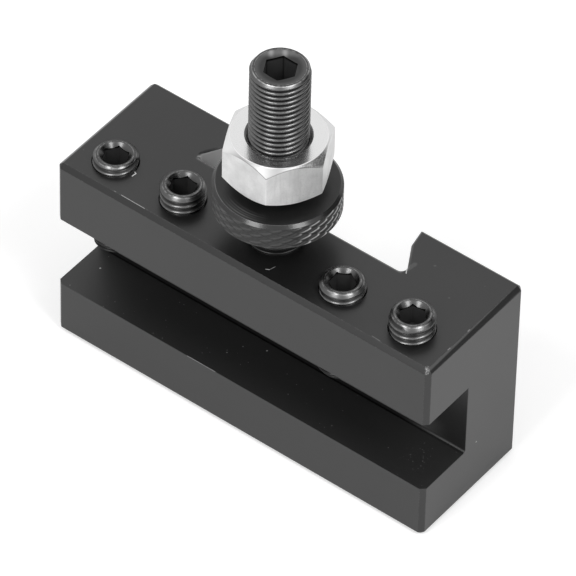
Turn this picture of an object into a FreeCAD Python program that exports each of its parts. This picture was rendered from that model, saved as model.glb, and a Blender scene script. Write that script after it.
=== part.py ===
import FreeCAD, Part
import os
import re
import Sketcher

# Quick change tool holder: a milled steel block with an open tool slot along its front, a
# dovetail down its back, four clamp screws through the upper jaw, and a height stud that
# carries a knurled nut and a hexagonal lock nut.
# Millimetres. X runs along the block and Y from the tool slot back to the dovetail, both
# from the block's middle. Z runs up from the face that the block stands on.

SIZES = [
    # block
    ("body_length", 75.0, "block, end to end"),
    ("body_depth", 25.15, "block, front to back"),
    ("body_height", 37.9, "block, bottom to top"),
    ("edge_break", 0.8, "chamfer on the block's outer edges"),
    # tool slot
    ("upper_jaw", 12.3, "jaw above the slot, which the clamp screws pass through"),
    ("lower_jaw", 10.9, "jaw below the slot, which the tool lies on"),
    ("slot_web", 4.35, "metal between the slot's back wall and the dovetail's floor"),
    ("slot_round", 0.5, "rounded corner between the slot's floor and back wall"),
    # dovetail
    ("dovetail_depth", 9.75, "dovetail, from the back face to its floor"),
    ("root_half", 21.4, "half the floor's width, measured to the sharp corner"),
    ("root_round", 1.0, "rounded corner between the floor and the slanted wall"),
    ("wall_run", 5.75, "slanted wall, measured along the block's depth"),
    ("mouth_lip", 0.8, "how much closer to the middle the mouth lies than the wall's end"),
    ("dovetail_break", 0.4, "chamfer round the dovetail's outline, top and bottom"),
    ("wall_angle", 30.0, "slanted wall, in degrees from the block's depth"),
    # threads shared by the moving pieces and their holes
    ("thread_gap", 0.05, "clearance all round between a thread's crest and its hole"),
    # height stud
    ("stud_major", 9.8, "stud's thread, outside diameter"),
    ("stud_length", 47.2, "stud, end to end"),
    ("stud_floor", 1.8, "metal between the bottom of the stud's hole and the slot"),
    ("stud_wall", 1.0, "metal between the stud's hole and the dovetail's floor"),
    ("stud_chamfer", 0.45, "chamfer at both ends of the stud"),
    ("stud_ring", 0.35, "flat ring left round the dish in the stud's top"),
    ("dish_slope", 10.0, "slope of the stud's dish, in degrees"),
    ("stud_socket", 5.0, "hexagon socket in the stud, across flats"),
    ("stud_socket_depth", 5.5, "depth of the stud's socket"),
    ("stud_turn", -2.0, "how far the stud's socket is turned, in degrees"),
    # knurled height nut
    ("thumb_diameter", 21.0, "knurled nut, over the knurl"),
    ("thumb_height", 5.1, "knurled nut, face to face"),
    ("thumb_chamfer", 0.5, "chamfer on the knurled nut's rims"),
    ("thumb_lift", 6.75, "knurled nut's height above the block as it was left"),
    # lock nut
    ("lock_flats", 16.2, "lock nut, across flats"),
    ("lock_height", 8.1, "lock nut, face to face"),
    ("lock_rim", 0.3, "how far inside the flats the lock nut's flat ring ends"),
    ("lock_chamfer_angle", 38.0, "slope of the lock nut's corner chamfer, in degrees"),
    ("lock_lift", 2.35, "gap between the two nuts as they were left"),
    ("lock_turn", -4.5, "how far the lock nut is turned, in degrees"),
    ("bore_sink", 0.5, "countersink round the bore of both nuts, all round"),
    # clamp screws
    ("clamp_major", 7.6, "clamp screw's thread, outside diameter"),
    ("clamp_length", 20.0, "clamp screw, end to end"),
    ("clamp_chamfer", 0.65, "chamfer round the clamp screw's top"),
    ("clamp_ring", 0.475, "flat ring left round the countersink of its socket"),
    ("clamp_socket", 4.0, "hexagon socket in the clamp screw, across flats"),
    ("clamp_socket_depth", 4.5, "depth of the clamp screw's socket"),
    ("clamp_point", 1.3, "chamfer that leads to the rim of the clamp screw's cup point"),
    ("cup_slope", 30.0, "slope of the clamp screws' cups, in degrees"),
    ("clamp_shift", 0.875, "clamp screws' line, behind the middle of the slot's floor"),
    ("clamp_left", 7.1, "left outer clamp screw, from the block's end"),
    ("clamp_right", 8.1, "right outer clamp screw, from the block's end"),
    ("clamp_spacing", 13.8, "from an outer clamp screw to the inner one beside it"),
    ("hole_sink", 0.1, "countersink round each tapped hole, all round"),
    ("clamp_proud_one", 1.65, "how far clamp screw 1 stands out of the block"),
    ("clamp_proud_two", 3.4, "how far clamp screw 2 stands out"),
    ("clamp_proud_three", 2.0, "how far clamp screw 3 stands out"),
    ("clamp_proud_four", 3.4, "how far clamp screw 4 stands out"),
    ("clamp_turn_one", -5.0, "how far clamp screw 1 is turned, in degrees"),
    ("clamp_turn_two", -10.0, "how far clamp screw 2 is turned"),
    ("clamp_turn_three", 33.0, "how far clamp screw 3 is turned"),
    ("clamp_turn_four", 7.0, "how far clamp screw 4 is turned"),
]

# the slot, from the front face to its back wall
SLOT_DEPTH = "(body_depth - dovetail_depth - slot_web)"
# the stud's blind hole, from the top face to its bottom, where the stud sits
STUD_SEAT = "(upper_jaw - stud_floor)"
# where the stud's axis lies behind the front face: as close to the dovetail as its wall allows
STUD_LINE = "(body_depth - dovetail_depth - stud_wall - stud_major / 2 - thread_gap)"
# the bore that a thread's crests run in
STUD_BORE = "(stud_major / 2 + thread_gap)"
CLAMP_BORE = "(clamp_major / 2 + thread_gap)"
# the clamp screws' line behind the front face, and their places from the block's middle
CLAMP_LINE = "(%s / 2 + clamp_shift)" % SLOT_DEPTH
LEFT_OUTER = "(clamp_left - body_length / 2)"
LEFT_INNER = "(clamp_left + clamp_spacing - body_length / 2)"
RIGHT_INNER = "(body_length / 2 - clamp_right - clamp_spacing)"
RIGHT_OUTER = "(body_length / 2 - clamp_right)"
# radius of the flat ring on the lock nut's faces, and one clear outside the nut's corners
LOCK_RING = "(lock_flats / 2 - lock_rim)"
PAST_CORNERS = "(lock_flats * 0.7)"

# how far a point or a direction may be from the one that is looked for
NEAR = 0.01

doc = FreeCAD.newDocument("tool_holder")


def fill_sheet():
    """Writes the driving sizes into the document's spreadsheet."""
    sheet = doc.addObject("Spreadsheet::Sheet", "Sizes")
    for row, (alias, value, meaning) in enumerate(SIZES, start=1):
        sheet.set("A%d" % row, alias)
        sheet.set("B%d" % row, str(value))
        sheet.set("C%d" % row, meaning)
        sheet.setAlias("B%d" % row, alias)
    doc.recompute()


def tie(owner, path, formula):
    """Binds a property or a sketch dimension to a formula of the sheet's sizes."""
    owner.setExpression(path, re.sub(r"\b([a-z]+(?:_[a-z]+)+)\b", r"Sizes.\1", formula))


def new_body(label, turn=None, x=None, y=None, z=None):
    """Starts a piece and ties its place in the part to the sheet."""
    body = doc.addObject("PartDesign::Body", label)
    body.Label = label
    for axis, formula in (("x", x), ("y", y), ("z", z)):
        if formula:
            tie(body, "Placement.Base.%s" % axis, formula)
    if turn:
        body.Placement.Rotation = FreeCAD.Rotation(FreeCAD.Vector(0, 0, 1), 1)
        tie(body, "Placement.Rotation.Angle", turn + " * 1deg")
    return body


def sketch_on(body, name, role, raised=None):
    """Adds a sketch on one of the piece's own origin planes, raised off it by a formula."""
    plane = next(item for item in body.Origin.OriginFeatures if item.Role == role)
    sketch = body.newObject("Sketcher::SketchObject", name)
    sketch.AttachmentSupport = [(plane, "")]
    sketch.MapMode = "FlatFace"
    if raised:
        tie(sketch, "AttachmentOffset.Base.z", raised)
    return sketch


def pin_point(sketch, item, end, across, up):
    """Dimensions one point from the sketch's axes; a leading minus means the negative side."""
    for kind, axis, formula in (("DistanceX", -2, across), ("DistanceY", -1, up)):
        if formula == "0":
            sketch.addConstraint(Sketcher.Constraint("PointOnObject", item, end, axis))
            continue
        if formula.startswith("-"):
            rule = Sketcher.Constraint(kind, item, end, -1, 1, 1.0)
        else:
            rule = Sketcher.Constraint(kind, -1, 1, item, end, 1.0)
        number = sketch.addConstraint(rule)
        tie(sketch, "Constraints[%d]" % number, formula.lstrip("-"))


def outline(sketch, corners):
    """Draws a closed outline through corners, each a pair of formulas."""
    first = sketch.GeometryCount
    count = len(corners)
    for i in range(count):
        start = FreeCAD.Vector(i, i * i, 0)
        end = FreeCAD.Vector(i + 1, (i + 1) * (i + 1), 0)
        sketch.addGeometry(Part.LineSegment(start, end), False)
    for i in range(count):
        following = first + (i + 1) % count
        sketch.addConstraint(Sketcher.Constraint("Coincident", first + i, 2, following, 1))
    for i, (across, up) in enumerate(corners):
        pin_point(sketch, first + i, 1, across, up)


def circle(sketch, radius, across="0", up="0"):
    """Draws a circle of a radius about a point, all as formulas."""
    shape = Part.Circle(FreeCAD.Vector(1, 1, 0), FreeCAD.Vector(0, 0, 1), 1)
    item = sketch.addGeometry(shape, False)
    pin_point(sketch, item, 3, across, up)
    number = sketch.addConstraint(Sketcher.Constraint("Radius", item, 1.0))
    tie(sketch, "Constraints[%d]" % number, radius)


def hexagon(sketch, flats):
    """Draws a hexagon about the origin with two corners on the first axis."""
    corner = flats + " / sqrt(3)"
    half_side = flats + " / sqrt(12)"
    half_flats = flats + " / 2"
    outline(sketch, [
        (corner, "0"), (half_side, half_flats), ("-" + half_side, half_flats),
        ("-" + corner, "0"), ("-" + half_side, "-" + half_flats), (half_side, "-" + half_flats),
    ])


def pad(body, name, sketch, length):
    """Pads a sketch upwards."""
    feature = body.newObject("PartDesign::Pad", name)
    feature.Profile = sketch
    tie(feature, "Length", length)
    return feature


def pocket_through(body, name, sketch):
    """Cuts a sketch right through the piece, both ways from its plane."""
    feature = body.newObject("PartDesign::Pocket", name)
    feature.Profile = sketch
    feature.Type = "ThroughAll"
    feature.Midplane = True
    return feature


def pocket(body, name, sketch, depth):
    """Cuts a sketch to a depth below its plane."""
    feature = body.newObject("PartDesign::Pocket", name)
    feature.Profile = sketch
    tie(feature, "Length", depth)
    return feature


def turned(body, kind, name, corners):
    """Revolves an outline of (radius, height) corners about the piece's own axis."""
    sketch = sketch_on(body, name + "_outline", "XZ_Plane")
    for closed in corners:
        outline(sketch, closed)
    feature = body.newObject(kind, name)
    feature.Profile = sketch
    feature.ReferenceAxis = (sketch, ["V_Axis"])
    feature.Angle = 360
    return feature


def drilled(body, name, sketch, radius, depth):
    """Drills each circle of a sketch to a flat bottom, with a small countersink at its mouth."""
    doc.recompute()
    hole = body.newObject("PartDesign::Hole", name)
    hole.Profile = sketch
    hole.DepthType = "Dimension"
    hole.DrillPoint = "Flat"
    hole.HoleCutType = "Countersink"
    hole.HoleCutCustomValues = True
    hole.HoleCutCountersinkAngle = 90
    tie(hole, "Diameter", "2 * " + radius)
    tie(hole, "Depth", depth)
    tie(hole, "HoleCutDiameter", "2 * (%s + hole_sink)" % radius)
    return hole


def edges_along(shape, direction, inside):
    """Names the straight edges along a direction whose middle passes a test."""
    names = []
    for number, edge in enumerate(shape.Edges, start=1):
        if not isinstance(edge.Curve, Part.Line):
            continue
        middle = edge.CenterOfMass
        if edge.Curve.Direction.cross(direction).Length < NEAR and inside(middle):
            names.append("Edge%d" % number)
    return names


def level_edges(shape, inside):
    """Names the level edges whose middle passes a test."""
    names = []
    for number, edge in enumerate(shape.Edges, start=1):
        if edge.BoundBox.ZLength < NEAR and inside(edge.CenterOfMass):
            names.append("Edge%d" % number)
    return names


def rounded(body, name, base, radius, direction, inside):
    """Rounds the edges that lie along a direction where the test says."""
    doc.recompute()
    fillet = body.newObject("PartDesign::Fillet", name)
    fillet.Base = (base, edges_along(base.Shape, direction, inside))
    tie(fillet, "Radius", radius)
    return fillet


def make_holder_body():
    """The block: slot in front, dovetail behind, tapped holes in the top."""
    body = new_body("holder_body", y="-body_depth / 2")
    sheet = doc.Sizes
    dovetail_floor = sheet.body_depth - sheet.dovetail_depth

    plan = sketch_on(body, "block_plan", "XY_Plane")
    half = "body_length / 2"
    outline(plan, [("-" + half, "0"), (half, "0"), (half, "body_depth"), ("-" + half, "body_depth")])
    block = pad(body, "block", plan, "body_height")
    doc.recompute()
    breaks = body.newObject("PartDesign::Chamfer", "outer_edges")
    breaks.Base = (block, ["Face1"])
    breaks.UseAllEdges = True
    tie(breaks, "Size", "edge_break")

    end = sketch_on(body, "slot_end", "YZ_Plane")
    ceiling = "body_height - upper_jaw"
    outline(end, [("0", "lower_jaw"), (SLOT_DEPTH, "lower_jaw"), (SLOT_DEPTH, ceiling), ("0", ceiling)])
    slot = pocket_through(body, "tool_slot", end)

    def at_slot_root(point):
        back_wall = dovetail_floor - sheet.slot_web
        return abs(point.y - back_wall) < NEAR and abs(point.z - sheet.lower_jaw) < NEAR

    rounded(body, "slot_corner", slot, "slot_round", FreeCAD.Vector(1, 0, 0), at_slot_root)

    plan = sketch_on(body, "dovetail_plan", "XY_Plane")
    floor = "body_depth - dovetail_depth"
    knee = floor + " + wall_run"
    knee_half = "(root_half - wall_run * tan(wall_angle * 1deg))"
    mouth_half = "(%s - mouth_lip)" % knee_half
    outline(plan, [
        ("root_half", floor), (knee_half, knee), (mouth_half, "body_depth"),
        ("-" + mouth_half, "body_depth"), ("-" + knee_half, knee), ("-root_half", floor),
    ])
    dovetail = pocket_through(body, "dovetail", plan)

    def at_dovetail_root(point):
        on_floor = abs(point.y - dovetail_floor) < NEAR
        return on_floor and abs(abs(point.x) - sheet.root_half) < NEAR

    corners = rounded(
        body, "dovetail_corners", dovetail, "root_round", FreeCAD.Vector(0, 0, 1), at_dovetail_root,
    )

    def on_dovetail_rim(point):
        at_end = min(abs(point.z), abs(point.z - sheet.body_height)) < NEAR
        in_notch = point.y > dovetail_floor - NEAR
        return at_end and in_notch and abs(point.x) < sheet.root_half

    doc.recompute()
    rim = body.newObject("PartDesign::Chamfer", "dovetail_rim")
    rim.Base = (corners, level_edges(corners.Shape, on_dovetail_rim))
    tie(rim, "Size", "dovetail_break")

    holes = sketch_on(body, "clamp_holes_plan", "XY_Plane", "body_height")
    for across in (LEFT_OUTER, LEFT_INNER, RIGHT_INNER, RIGHT_OUTER):
        circle(holes, CLAMP_BORE, across, CLAMP_LINE)
    halfway_down_slot = "upper_jaw + (body_height - upper_jaw - lower_jaw) / 2"
    drilled(body, "clamp_holes", holes, CLAMP_BORE, halfway_down_slot)

    seat = sketch_on(body, "stud_hole_plan", "XY_Plane", "body_height")
    circle(seat, STUD_BORE, "0", STUD_LINE)
    pocket(body, "stud_hole", seat, STUD_SEAT)
    return body


def make_height_stud():
    """The stud: threaded all along, screwed to the bottom of its blind hole."""
    body = new_body(
        "height_stud", "stud_turn",
        y=STUD_LINE + " - body_depth / 2", z="body_height - " + STUD_SEAT,
    )
    crest = "stud_major / 2"
    end_face = crest + " - stud_chamfer"
    dish = "(%s - stud_ring)" % end_face
    turned(body, "PartDesign::Revolution", "stud", [[
        ("0", "0"), (end_face, "0"), (crest, "stud_chamfer"), (crest, "stud_length - stud_chamfer"),
        (end_face, "stud_length"), (dish, "stud_length"),
        ("0", "stud_length - %s * tan(dish_slope * 1deg)" % dish),
    ]])
    socket = sketch_on(body, "socket_plan", "XY_Plane", "stud_length")
    hexagon(socket, "stud_socket")
    pocket(body, "socket", socket, "stud_socket_depth")
    return body


def make_thumb_nut():
    """The knurled nut that sets the holder's height on the tool post."""
    body = new_body("thumb_nut", y=STUD_LINE + " - body_depth / 2", z="body_height + thumb_lift")
    rim = "thumb_diameter / 2"
    shoulder = rim + " - thumb_chamfer"
    mouth = STUD_BORE + " + bore_sink"
    turned(body, "PartDesign::Revolution", "ring", [[
        (mouth, "0"), (shoulder, "0"), (rim, "thumb_chamfer"), (rim, "thumb_height - thumb_chamfer"),
        (shoulder, "thumb_height"), (mouth, "thumb_height"),
        (STUD_BORE, "thumb_height - bore_sink"), (STUD_BORE, "bore_sink"),
    ]])
    return body


def make_lock_nut():
    """The hexagonal nut that locks the knurled one."""
    body = new_body(
        "lock_nut", "lock_turn", y=STUD_LINE + " - body_depth / 2",
        z="body_height + thumb_lift + thumb_height + lock_lift",
    )
    plan = sketch_on(body, "hexagon_plan", "XY_Plane")
    hexagon(plan, "lock_flats")
    pad(body, "hexagon", plan, "lock_height")
    drop = "(%s - %s) * tan(lock_chamfer_angle * 1deg)" % (PAST_CORNERS, LOCK_RING)
    top = "lock_height"
    turned(body, "PartDesign::Groove", "corner_chamfers", [
        [(LOCK_RING, "0"), (PAST_CORNERS, "0"), (PAST_CORNERS, drop)],
        [(LOCK_RING, top), (PAST_CORNERS, top), (PAST_CORNERS, "%s - %s" % (top, drop))],
    ])
    mouth = STUD_BORE + " + bore_sink"
    turned(body, "PartDesign::Groove", "bore", [[
        ("0", "0"), (mouth, "0"), (STUD_BORE, "bore_sink"), (STUD_BORE, "lock_height - bore_sink"),
        (mouth, "lock_height"), ("0", "lock_height"),
    ]])
    return body


def make_clamp_screw(label, count_word, across):
    """A socket screw with a cup point, which clamps the tool's shank."""
    body = new_body(
        label, "clamp_turn_" + count_word, x=across, y=CLAMP_LINE + " - body_depth / 2",
        z="body_height + clamp_proud_%s - clamp_length" % count_word,
    )
    crest = "clamp_major / 2"
    cup = "(%s - clamp_point)" % crest
    face = "(%s - clamp_chamfer)" % crest
    mouth = "(%s - clamp_ring)" % face
    turned(body, "PartDesign::Revolution", "screw", [[
        ("0", cup + " * tan(cup_slope * 1deg)"), (cup, "0"), (crest, "clamp_point"),
        (crest, "clamp_length - clamp_chamfer"), (face, "clamp_length"),
        (mouth, "clamp_length"), ("0", "clamp_length - " + mouth),
    ]])
    socket = sketch_on(body, "socket_plan", "XY_Plane", "clamp_length")
    hexagon(socket, "clamp_socket")
    pocket(body, "socket", socket, "clamp_socket_depth")
    return body


def check_document():
    """Stops with a message if any object failed or any piece has no sound solid."""
    for item in doc.Objects:
        if "Invalid" in item.State or "Error" in item.State:
            raise RuntimeError("%s failed to recompute" % item.Label)
    for piece in pieces:
        if piece.Shape.isNull() or not piece.Shape.isValid() or len(piece.Shape.Solids) != 1:
            raise RuntimeError("%s has no sound solid" % piece.Label)


fill_sheet()
pieces = [make_holder_body(), make_height_stud(), make_thumb_nut(), make_lock_nut()]
clamp_places = [
    ("clamp_screw_1", "one", LEFT_OUTER),
    ("clamp_screw_2", "two", LEFT_INNER),
    ("clamp_screw_3", "three", RIGHT_INNER),
    ("clamp_screw_4", "four", RIGHT_OUTER),
]
for place in clamp_places:
    pieces.append(make_clamp_screw(*place))
doc.recompute()
check_document()

os.makedirs("parts", exist_ok=True)
for piece in pieces:
    piece.Shape.exportStep("parts/%s.step" % piece.Label)
    box = piece.Shape.BoundBox
    print("%-14s volume %9.1f  z %6.2f to %6.2f" % (piece.Label, piece.Shape.Volume, box.ZMin, box.ZMax))
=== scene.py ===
import math

import bmesh
import bpy
from mathutils import Euler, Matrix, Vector


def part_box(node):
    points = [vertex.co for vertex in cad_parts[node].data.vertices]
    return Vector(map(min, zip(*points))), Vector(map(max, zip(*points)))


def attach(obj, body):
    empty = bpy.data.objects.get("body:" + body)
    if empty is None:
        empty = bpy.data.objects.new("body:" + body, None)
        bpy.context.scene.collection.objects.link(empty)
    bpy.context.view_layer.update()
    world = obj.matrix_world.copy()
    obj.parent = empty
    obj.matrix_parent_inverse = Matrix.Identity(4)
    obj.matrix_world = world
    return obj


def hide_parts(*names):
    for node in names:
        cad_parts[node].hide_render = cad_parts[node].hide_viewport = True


# Finish of a quick change tool holder: black oxide block, threaded stud with its knurled nut
# and bright lock nut, and four black socket screws. Metres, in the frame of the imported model.

MM = 0.001

# camera at the photograph's place: millimetres, degrees, and lens on a 36 mm sensor
CAMERA_PLACE = (484.6, -647.6, 842.0)
CAMERA_TURN = (44.641, -1.018, 37.827)
CAMERA_LENS = 447.1

# turned pieces: how many flats make a circle, and rows of faces along one pitch of thread
SEGMENTS = 96
ROWS_PER_PITCH = 12
# the height over which a thread's groove fades in below its start
THREAD_FADE = 0.08 * MM
# edges that turn by more degrees than this are crisp on the turned pieces
CRISP_ANGLE = 20
# points nearer than the first become one, and a point as near to a limit as the second is on it
SAME_PLACE = 1e-6
AT_LIMIT = 1e-5

# height stud: its thread, and the ring, dish and hexagon socket in its top
STUD_PITCH = 1.0 * MM
STUD_THREAD = {
    "Pitch": STUD_PITCH, "Depth": 0.58 * STUD_PITCH, "Crest Share": 0.12, "Root Share": 0.04,
    "Phase": 0.98 * MM, "Start": 0.2 * MM,
}
STUD_CHAMFER = 0.45 * MM
STUD_RING = 0.35 * MM
DISH_SLOPE = 10.0
STUD_SOCKET = 5.0 * MM
STUD_SOCKET_DEPTH = 5.5 * MM
STUD_TURN = -2.0

# clamp screws: their thread, the ring, sink and socket in their tops, and their cup points
CLAMP_PITCH = 1.25 * MM
CLAMP_THREAD = {
    "Pitch": CLAMP_PITCH, "Depth": 0.53 * CLAMP_PITCH, "Crest Share": 0.1, "Root Share": 0.06,
    "Start": 0.5 * MM,
}
CLAMP_CHAMFER = 0.65 * MM
CLAMP_RING = 0.475 * MM
CLAMP_SINK_SLOPE = 45.0
CLAMP_SOCKET = 4.0 * MM
CLAMP_SOCKET_DEPTH = 4.5 * MM
CLAMP_POINT = 1.3 * MM
CUP_SLOPE = 30.0
# how far each screw is turned, in degrees
CLAMP_TURNS = (-5.0, -10.0, 33.0, 7.0)
# how far each screw's thread is shifted up, in millimetres, from starting at its foot
CLAMP_PHASES = (0.05, 0.87, 0.84, 0.42)

# both nuts
NUT_BORE = 4.95 * MM
NUT_SINK = 0.5 * MM
LOCK_FLATS = 16.2 * MM
LOCK_RIM = 0.3 * MM
LOCK_SLOPE = 38.0
LOCK_TURN = -4.5
LOCK_EDGE = 0.1 * MM
THUMB_CHAMFER = 0.5 * MM
# knurl: diamonds round the rim, their height, the depth and width of the grooves between them,
# and the plain rim above and below
KNURL_COUNT = 20
KNURL_ROW = 1.5 * MM
KNURL_DEPTH = 0.18 * MM
KNURL_GROOVE = 0.42
KNURL_RIM = 0.15 * MM
KNURL_COLUMNS = 30 * KNURL_COUNT
KNURL_ROWS = 44
# the burr across each diamond, painted bright as a glint: its lean and width, and where along it the
# ends fade
BURR_GLINT_LEAN = 0.27
BURR_GLINT_WIDTH = 0.16
BURR_GLINT_ENDS = (0.45, 0.7)

# block: the rounding of its edges, the bend that counts as an edge, and how near a clamp
# screw's axis the edges stay sharp
BLOCK_EDGE = 0.08 * MM
BLOCK_BEND = 25
HOLE_REACH = 4.2 * MM

# the block for the marks on it, in millimetres: half its length and depth, its height and
# chamfer, the slot's floor, and the corner and floor of its dovetail, whose walls lean inwards
HALF_LENGTH = 37.5
HALF_DEPTH = 12.575
BLOCK_TOP = 37.9
BLOCK_CHAMFER = 0.8
SLOT_FLOOR = 10.9
DOVETAIL_CORNER = 21.4
DOVETAIL_FLOOR = 2.825
DOVETAIL_LEAN = math.radians(30)

# lamps: how high they stand in degrees, how far away, their size and their power
LAMP_RISE = 48
LAMP_DISTANCE = 0.9
LAMP_SIZE = (0.27, 0.42)
LAMP_WATTS = 2.8
# the point that the lamps and the dark cards face, and how far away the cards stand
MIDDLE = (0, 0, 0.03)
CARD_DISTANCE = 0.6
# light from all round, as a share of white
AMBIENT = 0.5
# half the floor's width, and its glow to the camera and in reflections
FLOOR_HALF = 3.0
FLOOR_GLOW = 0.4
FLOOR_MIRRORED = 0.2

# how ragged a scratch's sides are, as a share of its width
RAGGED = 0.8
# scratches and chips on the block: from, to, width in millimetres, and how bright
SCRATCHES = (
    ((-24.8, -11.72, 37.9), (-20.0, -11.78, 37.9), 0.07, 0.45),
    ((-26.3, -11.71, 37.9), (-25.9, -11.72, 37.9), 0.06, 0.25),
    ((-26.14, -7.23, 37.9), (-26.02, -6.43, 37.9), 0.12, 1.0),
    ((-26.02, -6.43, 37.9), (-26.65, -6.17, 37.9), 0.1, 0.8),
    ((3.5, -10.42, 37.9), (4.0, -10.14, 37.9), 0.08, 0.8),
    ((4.0, -10.14, 37.9), (4.35, -9.05, 37.9), 0.05, 0.5),
    ((25.6, -11.6, 37.9), (27.2, -11.68, 37.9), 0.06, 0.2),
    ((21.0, 3.6, 37.9), (21.25, 5.3, 37.9), 0.5, 0.05),
    ((-15.4, 0.4, 37.9), (-15.3, 0.5, 37.9), 0.2, 0.1),
    ((23.9, 6.95, 37.9), (24.0, 7.05, 37.9), 0.2, 0.06),
    ((29.95, 2.7, 37.9), (30.0, 2.75, 37.9), 0.2, 0.06),
    ((36.7, -6.5, 37.9), (36.72, -6.0, 37.9), 0.1, 0.25),
    ((36.7, -1.3, 37.9), (36.72, -0.9, 37.9), 0.14, 0.2),
    ((-33.92, -5.85, 10.9), (-33.9, -5.8, 10.9), 0.17, 0.7),
    ((-10.4, -12.55, 10.9), (-4.7, -12.55, 10.9), 0.07, 0.3),
    ((-5.87, -7.96, 10.9), (-5.85, -7.93, 10.9), 0.13, 0.3),
    ((-1.06, -3.6, 10.9), (-1.03, -3.57, 10.9), 0.15, 0.5),
    ((-4.68, -5.27, 10.9), (-4.66, -5.24, 10.9), 0.12, 0.3),
    ((37.5, 1.4, 10.85), (37.5, 1.45, 10.9), 0.16, 0.6),
)

# the kinds of input and output that the node groups have
NUMBER = "NodeSocketFloat"
VECTOR = "NodeSocketVector"
GEOMETRY = "NodeSocketGeometry"
MATERIAL = "NodeSocketMaterial"

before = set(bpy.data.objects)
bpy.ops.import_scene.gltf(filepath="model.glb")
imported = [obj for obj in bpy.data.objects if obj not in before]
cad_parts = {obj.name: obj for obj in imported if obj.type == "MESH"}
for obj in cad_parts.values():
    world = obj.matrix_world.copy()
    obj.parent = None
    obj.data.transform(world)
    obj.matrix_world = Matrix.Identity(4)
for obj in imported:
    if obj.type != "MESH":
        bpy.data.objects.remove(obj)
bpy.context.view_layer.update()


class Field:
    """A number that changes over a mesh or a surface, wired together from math nodes."""

    def __init__(self, tree, socket):
        self.tree = tree
        self.socket = socket

    def math(self, operation, *others):
        made = self.tree.nodes.new("ShaderNodeMath")
        made.operation = operation
        for place, value in enumerate((self,) + others):
            feed(self.tree, value, made.inputs[place])
        return Field(self.tree, made.outputs[0])

    def __add__(self, other):
        return self.math("ADD", other)

    def __sub__(self, other):
        return self.math("SUBTRACT", other)

    def __mul__(self, other):
        return self.math("MULTIPLY", other)

    def __truediv__(self, other):
        return self.math("DIVIDE", other)

    __radd__ = __add__
    __rmul__ = __mul__

    def __rsub__(self, other):
        return (self * -1) + other


def feed(tree, value, socket):
    """Links a field to a socket, or sets the socket to a plain value."""
    if isinstance(value, Field):
        value = value.socket
    if isinstance(value, bpy.types.NodeSocket):
        tree.links.new(value, socket)
    else:
        socket.default_value = value


def add(tree, kind, inputs=None, **settings):
    """Adds a node with its settings and inputs, and returns it."""
    made = tree.nodes.new(kind)
    for name, value in settings.items():
        setattr(made, name, value)
    for name, value in (inputs or {}).items():
        feed(tree, value, made.inputs[name])
    return made


def new_group(name, kind, inputs, outputs):
    """Starts a node group and returns it with its input fields and its output node."""
    tree = bpy.data.node_groups.new(name, kind)
    for label, socket_kind in inputs.items():
        tree.interface.new_socket(label, in_out="INPUT", socket_type=socket_kind)
    for label, socket_kind in outputs.items():
        tree.interface.new_socket(label, in_out="OUTPUT", socket_type=socket_kind)
    entry = tree.nodes.new("NodeGroupInput")
    fields = {label: Field(tree, entry.outputs[label]) for label in inputs}
    return tree, fields, tree.nodes.new("NodeGroupOutput")


def ramp(field, start, end):
    """Rises smoothly from nought to one between two values."""
    made = add(field.tree, "ShaderNodeMapRange", {
        "Value": field, "From Min": start, "From Max": end,
    }, interpolation_type="SMOOTHSTEP")
    return Field(field.tree, made.outputs[0])


def near(field, middle, width):
    """One where a field has a value, falling to nought at a width from it."""
    return 1 - ramp((field - middle).math("ABSOLUTE"), 0.0, width)


def grid_fields(tree, columns, rows):
    """Adds a flat grid, and returns it with each point's share of a turn and its row."""
    grid = add(tree, "GeometryNodeMeshGrid", {
        "Size X": 1.0, "Size Y": 1.0, "Vertices X": columns + 1, "Vertices Y": rows + 1,
    })
    position = tree.nodes.new("GeometryNodeInputPosition")
    place = add(tree, "ShaderNodeSeparateXYZ", {0: position.outputs[0]})
    turn = Field(tree, place.outputs["X"]) + 0.5
    row = (Field(tree, place.outputs["Y"]) + 0.5) * rows
    return grid.outputs["Mesh"], turn, row


def wrapped(tree, mesh, turn, radius, height):
    """Moves a grid's points round the axis, at a radius and a height for each."""
    angle = turn * math.tau
    place = add(tree, "ShaderNodeCombineXYZ", {
        "X": radius * angle.math("COSINE"), "Y": radius * angle.math("SINE"), "Z": height,
    })
    return add(tree, "GeometryNodeSetPosition", {"Geometry": mesh, "Position": place.outputs[0]})


def close_tree(tree, out, parts, material):
    """Joins parts, merges their seams, makes them plain meshes and gives them their material."""
    joined = tree.nodes.new("GeometryNodeJoinGeometry")
    for part in parts:
        tree.links.new(part, joined.inputs[0])
    merged = add(tree, "GeometryNodeMergeByDistance", {
        "Geometry": joined.outputs[0], "Distance": SAME_PLACE,
    })
    real = add(tree, "GeometryNodeRealizeInstances", {"Geometry": merged.outputs[0]})
    dressed = add(tree, "GeometryNodeSetMaterial", {"Geometry": real.outputs[0]})
    feed(tree, material, dressed.inputs["Material"])
    tree.links.new(dressed.outputs[0], out.inputs["Geometry"])


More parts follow.
